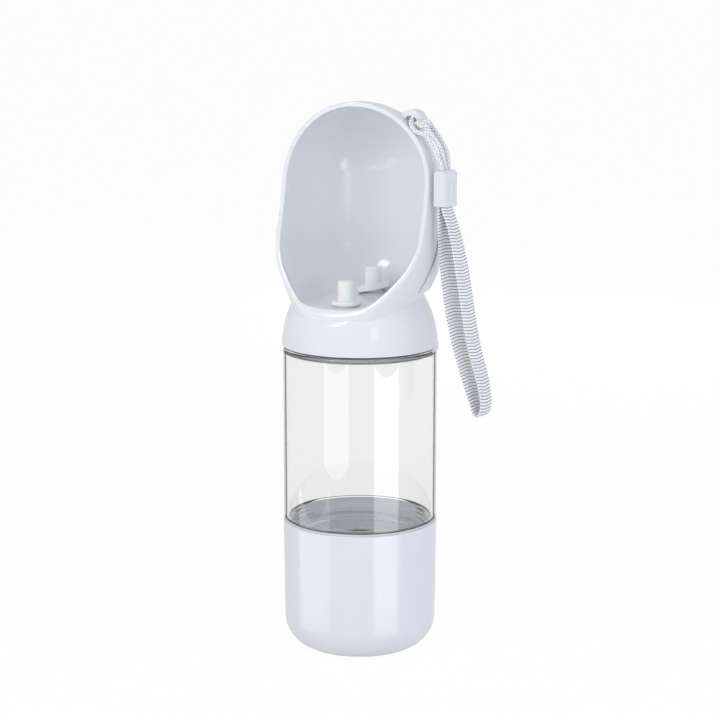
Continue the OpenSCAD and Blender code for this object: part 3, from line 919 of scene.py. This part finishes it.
def lug_form():
    """The strap's lug: a short ring with two grooves, its eye along the depth of the scoop."""
    outer, groove, eye, length, edge = 6.2, 5.7, 3.2, 7.4, 0.5
    outline = [*bend(outer - edge, edge, edge, -90, 0, 3),
               (outer, 2.9), (groove, 3.2), (groove, 3.7), (outer, 4.0),
               (outer, 5.1), (groove, 5.4), (groove, 5.9), (outer, 6.2),
               *bend(outer - edge, length - edge, edge, 0, 90, 3),
               *bend(eye + edge, length - edge, edge, 90, 180, 3),
               *bend(eye + edge, edge, edge, 180, 270, 3)]
    piece = turned("lug", outline + [outline[0]], 72)
    piece.rotation_euler = (-math.pi / 2, 0, 0)
    piece.location = point(25.6, 0.6, 257.5)
    settle(piece)
    return piece


def dome_form():
    middle = COLLAR_R - DOME_ARC
    top, edge = 178.3, 0.35
    outline = [(0, top), *bend(middle, COLLAR_LOW, DOME_ARC, 37.5, 0.6, 24),
               *bend(COLLAR_R - edge, COLLAR_LOW + edge, edge, 0, -90, 4), (0, COLLAR_LOW)]
    return turned("dome", outline, 192)


def hollow_form():
    """The space under the floor: room for the screw threads, and the hollow above the mouth."""
    room, roof = 34.6, 161.1
    outline = [(0, 148), (room, 148), (room, COLLAR_LOW), (room - 0.6, COLLAR_LOW + 0.5), (room - 0.6, roof),
               (31.2, roof), (31.2, 162), (29.2, 173), (0, 173)]
    form = turned("hollow", outline, 192)
    tilt = math.radians(FLOOR_TILT)
    edit(form)
    bpy.ops.mesh.select_all(action="SELECT")
    bpy.ops.mesh.bisect(plane_co=point(0, 0, FLOOR - 2.4), plane_no=(0, -math.sin(tilt), math.cos(tilt)),
                        use_fill=True, clear_outer=True)
    deselect()
    outward(form)
    return form


def lid():
    past_rim = 1.3
    form = dome_form()
    joined(form, opening_tool(CUT_R + past_rim), "DIFFERENCE")
    joined(form, bowl_form(), "DIFFERENCE")
    joined(form, scoop_shell(), "UNION")
    joined(form, joined(lug_form(), bowl_form(), "DIFFERENCE"), "UNION")
    joined(form, hollow_form(), "DIFFERENCE")
    for y, seat in ((-PLUG_Y, SEAT_FRONT), (PLUG_Y, SEAT_BACK)):
        joined(form, bar("seat", SEAT_R, seat - 3, seat, y=y), "UNION")
        joined(form, bar("hole", HOLE_R, seat - 8, seat + 2, y=y), "DIFFERENCE")
    dressed(form, "scoop_lid_shell", "lid", white_lid, ["scoop_lid"])


def collar_nib():
    """The nib under the collar's edge at the right."""
    outline = [(BODY_R - 0.2, 148.3), (COLLAR_R + 0.1, 148.3), (COLLAR_R + 0.4, 148.6),
               (COLLAR_R + 0.4, 150.6), (COLLAR_R - 0.3, 151.3), (BODY_R - 0.2, 151.3)]
    piece = drawn("nib", outline)
    bpy.ops.mesh.select_all(action="SELECT")
    bpy.ops.mesh.edge_face_add()
    bpy.ops.mesh.spin(steps=24, angle=math.radians(40), center=(0, 0, 0), axis=(0, 0, 1))
    deselect()
    piece.rotation_euler = (0, 0, math.radians(44))
    settle(piece)
    outward(piece)
    dressed(piece, "collar_nib", "lid", white_lid)


def level_loop(z, grow):
    """The scoop's outline at a height, in millimetres."""
    loop = []
    for i in range(ROUND):
        turn = 2 * math.pi * i / ROUND
        across, back = math.cos(turn), math.sin(turn)
        far = edge_distance(lambda go: scoop_side(go * across, go * back, z, grow) > 0)
        loop.append(Vector((far * across, far * back, z)))
    return loop


def rear_wall():
    """The second wall behind the flare, between slanting front edges."""
    low, high = 178.5, 208.3
    steps = 22
    levels = [low + (high - low) * i / steps for i in range(-1, steps + 2)]
    loops = [level_loop(z, 0.12) for z in levels]
    piece = looped("rear_wall", loops, Vector((0, 0, levels[0])), Vector((0, 0, levels[-1])))
    lean = math.radians(29)
    edit(piece)
    for place, away in ((point(0, 0, low), (0, 0, -1)), (point(0, 0, high), (0, 0, 1)),
                        (point(0, -7, low), (0, -math.cos(lean), math.sin(lean)))):
        bpy.ops.mesh.select_all(action="SELECT")
        bpy.ops.mesh.bisect(plane_co=place, plane_no=away, clear_outer=True)
    deselect()
    wall = piece.modifiers.new("wall", "SOLIDIFY")
    wall.thickness = 1.05 * MM
    wall.offset = 1
    apply_modifier(piece, "wall")
    round_edges(piece, lambda e: sharp(e), 0.25, 2)
    dressed(piece, "rear_second_wall", "lid", white_lid, ["rear_shell"])


lid()
collar_nib()
rear_wall()


# Plugs

PLUG_STEM = [(0, -5.4), (3.3, -5.4), (3.6, -5.1), (3.6, 0)]
KNOB_R = 4.05
KNOB_ROUND = 1.2


def knob(top):
    """The rounded end of a plug's knob."""
    return [*bend(KNOB_R - KNOB_ROUND, top - KNOB_ROUND, KNOB_ROUND, 0, 90, 6), (0, top)]


def pour_plug():
    outline = [*PLUG_STEM, *bend(6.3, 0.7, 0.7, -90, 0, 4), *bend(6.3, 1.3, 0.7, 0, 90, 4), (4.6, 2.05),
               *bend(4.7, 2.65, 0.6, 270, 180, 4), *knob(11.6)]
    piece = turned("pour_plug", outline, 96)
    piece.location = point(0, -PLUG_Y, SEAT_FRONT)
    settle(piece)
    dressed(piece, "pour_plug_body", "pour_plug", silicone, ["pour_plug"])


def return_plug():
    """The rear plug, whose flange stands up at its right."""
    core = turned("return_plug", [*PLUG_STEM, (4.1, 0), (4.1, 2.6), (4.05, 2.9), *knob(12.6)], 96)
    flange_outline = [(0, -0.6), *bend(7.1, 0.3, 0.9, -90, 0, 4), *bend(7.4, 1.8, 0.6, 0, 90, 4),
                      *bend(6.9, 1.6, 0.6, 90, 180, 3), (6.0, 1.3), (0, 1.3)]
    flange = turned("flange", flange_outline, 96)
    flange.rotation_euler = (0, -math.radians(13), 0)
    flange.location = point(0, 0, 1.8)
    settle(flange)
    joined(core, flange, "UNION")
    core.location = point(0, PLUG_Y, SEAT_BACK)
    settle(core)
    dressed(core, "return_plug_body", "return_plug", silicone, ["return_plug"])


pour_plug()
return_plug()


# Clip

def clip():
    width, depth, height = 6.6, 10.2, 17.2
    piece = box("clip", width, depth, height)
    round_edges(piece, lambda e: all(v.co.z > (height - 0.1) * MM for v in e.verts), 2.4, 6)
    round_edges(piece, lambda e: sharp(e) and all(v.co.z < 0.1 * MM for v in e.verts)
                or abs(e.verts[0].co.z - e.verts[1].co.z) > 10 * MM, 0.45, 3)
    for y in (-2, 2):
        joined(piece, bar("flute", 0.8, 2.4, 12.4, width / 2 + 0.25, y, 24), "DIFFERENCE")
    joined(piece, box("band_pocket", 3.5, 9.2, 7, -2), "DIFFERENCE")
    joined(piece, box("cord_pocket", 2.6, 7.2, 7, 12.2), "DIFFERENCE")
    piece.rotation_euler = (0, 0, CLIP_TURN)
    piece.location = CLIP_AT * MM
    settle(piece)
    dressed(piece, "strap_clip_body", "lid", white_clip, ["strap_clip"])


clip()


# Studio

def seen_straight(tree, path):
    """1 where the camera looks at the studio directly or through clear plastic."""
    return number_node(tree, "MAXIMUM", -100, 300, path.outputs["Is Camera Ray"],
                       path.outputs["Is Transmission Ray"])


def studio_floor():
    deselect()
    bpy.ops.mesh.primitive_plane_add(size=80)
    floor = bpy.context.object
    floor.name = "studio_floor"
    material = bpy.data.materials.new("studio_floor")
    material.use_nodes = True
    tree = material.node_tree
    surface = tree.nodes["Principled BSDF"]
    surface.inputs["Base Color"].default_value = (0.9, 0.9, 0.9, 1)
    surface.inputs["Roughness"].default_value = 0.9
    surface.inputs["Specular IOR Level"].default_value = 0.0
    glow = node_in(tree, "ShaderNodeEmission", 0, -500)
    path = node_in(tree, "ShaderNodeLightPath", -300, 300)
    share = number_node(tree, "MULTIPLY", 200, 300, seen_straight(tree, path), 0.96)
    whole = mixed(tree, 400, share, surface.outputs["BSDF"], glow.outputs["Emission"])
    tree.links.new(whole, tree.nodes["Material Output"].inputs["Surface"])
    floor.data.materials.append(material)
    floor.visible_glossy = False


def studio_world():
    world = bpy.data.worlds.new("studio")
    bpy.context.scene.world = world
    world.use_nodes = True
    tree = world.node_tree
    backdrop = tree.nodes["Background"]
    backdrop.inputs["Color"].default_value = (1, 1, 1, 1)
    soft = node_in(tree, "ShaderNodeBackground", 0, -300)
    soft.inputs["Color"].default_value = (0.97, 0.98, 1.0, 1)
    soft.inputs["Strength"].default_value = 0.45
    path = node_in(tree, "ShaderNodeLightPath", -300, 300)
    mirrored = number_node(tree, "MULTIPLY", -100, 100, path.outputs["Is Glossy Ray"], 0.6)
    seen = number_node(tree, "MAXIMUM", 100, 300, seen_straight(tree, path), mirrored)
    whole = mixed(tree, 300, seen, soft.outputs["Background"], backdrop.outputs["Background"])
    tree.links.new(whole, tree.nodes["World Output"].inputs["Surface"])


def softbox(name, azimuth, distance, height, size, power, colour=(1, 1, 1), aim=0.14):
    """A soft lamp that looks at the bottle at a height; azimuth counts from the front towards the right."""
    data = bpy.data.lights.new(name, "AREA")
    data.shape = "RECTANGLE"
    data.size, data.size_y = size
    data.energy = power
    data.color = colour
    lamp = bpy.data.objects.new(name, data)
    bpy.context.scene.collection.objects.link(lamp)
    turn = math.radians(azimuth)
    lamp.location = (distance * math.sin(turn), -distance * math.cos(turn), height)
    lamp.rotation_euler = (Vector((0, 0, aim)) - lamp.location).to_track_quat("-Z", "Y").to_euler()
    lamp.visible_camera = False
    lamp.visible_transmission = False
    lamp.visible_glossy = False
    return lamp


def highlight(name, azimuth, distance, height, size, power, aim=None):
    """A card that shows only as a highlight in glossy surfaces."""
    lamp = softbox(name, azimuth, distance, height, size, power, aim=height if aim is None else aim)
    lamp.visible_glossy = True
    lamp.visible_diffuse = False


studio_floor()
studio_world()
LILAC = (0.82, 0.85, 1.0)
softbox("front_left_softbox", -20, 1.0, 0.45, (0.8, 0.8), 3.7)
softbox("front_right_softbox", 56, 1.0, 0.45, (0.5, 0.8), 2.5, LILAC)
softbox("rear_right_softbox", 100, 0.9, 0.35, (0.9, 0.8), 2.1, LILAC)
softbox("top_softbox", 20, 0.3, 1.2, (0.8, 0.8), 0.9)
softbox("rear_softbox", 190, 1.0, 0.45, (0.8, 0.8), 2.4)
softbox("bowl_softbox", -35, 0.22, 0.33, (0.1, 0.1), 0.065, aim=0.195)
highlight("right_strip", 64.7, 1.0, -0.1275, (0.7, 0.145), 1.5)
highlight("low_right_strip", 64.7, 1.0, -0.28, (0.7, 0.16), 1.5)
highlight("left_strip", -10.5, 1.0, -0.1025, (0.69, 0.105), 0.55)
highlight("low_left_strip", -49, 1.0, -0.28, (1.1, 0.16), 1.2)
highlight("bowl_strip", 45.5, 0.2, 0.2125, (0.035, 0.055), 0.013)
highlight("bowl_spot", -27, 0.225, 0.425, (0.09, 0.09), 0.2, aim=0.2)
